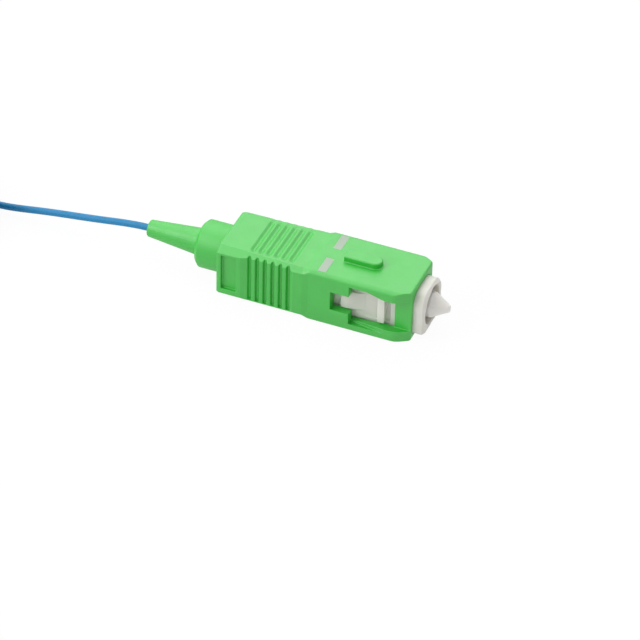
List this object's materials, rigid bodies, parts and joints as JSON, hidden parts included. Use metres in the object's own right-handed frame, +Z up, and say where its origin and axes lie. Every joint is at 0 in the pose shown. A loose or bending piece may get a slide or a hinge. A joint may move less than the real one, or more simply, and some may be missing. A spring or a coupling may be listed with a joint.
{
  "type": "fiber optic connector",
  "caption": "Square push-pull fibre optic plug with a sliding grip housing, latch windows, angled 2.5 mm ferrule, boot, dust cap and a tight-buffered lead.",
  "frame": {"origin": "on the flat underside of the grip housing, below the fibre's axis and in the middle of that flat", "axes": "+X forward along the fibre to the ferrule's tip, +Z up from the underside to the key, +Y to the left"},
  "size_m": [0.0825, 0.0144, 0.0082],
  "materials": {
    "grip_green": "satin moulded",
    "mark_white": "printed ink",
    "frame_white": "satin moulded",
    "ring_black": "moulded",
    "boot_green": "soft satin",
    "ceramic": "polished ceramic",
    "holder_metal": "turned",
    "guide_plastic": "extruded",
    "adhesive": "cured",
    "fibre_glass": "drawn",
    "lead_blue": "extruded satin",
    "spring_steel": "wound",
    "cap_white": "soft moulded",
    "tie_black": "woven strap"
  },
  "bodies": {
    "core": {"plug_frame": "frame_white", "stop_ring": "ring_black", "boot": "boot_green", "fibre_buffer": "lead_blue", "ferrule_spring": "spring_steel", "pigtail_lead": "lead_blue", "pigtail_hank": "lead_blue", "hank_tie": "tie_black"},
    "grip": {"outer_housing": "grip_green", "index_marks": "mark_white"},
    "ferrule_group": {"ferrule": "ceramic", "ferrule_holder": "holder_metal", "guide_tube": "guide_plastic", "glue_bead": "adhesive", "glass_fibre": "fibre_glass"},
    "cap": {"dust_cap": "cap_white"}
  },
  "joints": [
    {"name": "grip_slide", "type": "slide", "parent": "core", "child": "grip", "axis": [1, 0, 0], "range_m": [-0.0013, 0.001]},
    {"name": "ferrule_float", "type": "slide", "parent": "core", "child": "ferrule_group", "axis": [1, 0, 0], "range_m": [-0.0015, 0], "stiffness_N_per_m": 2500, "springref_m": 0.003, "deforming": ["ferrule_spring", "fibre_buffer"]},
    {"name": "cap_pull", "type": "slide", "parent": "ferrule_group", "child": "cap", "axis": [1, 0, 0], "range_m": [0, 0.008]}
  ]
}
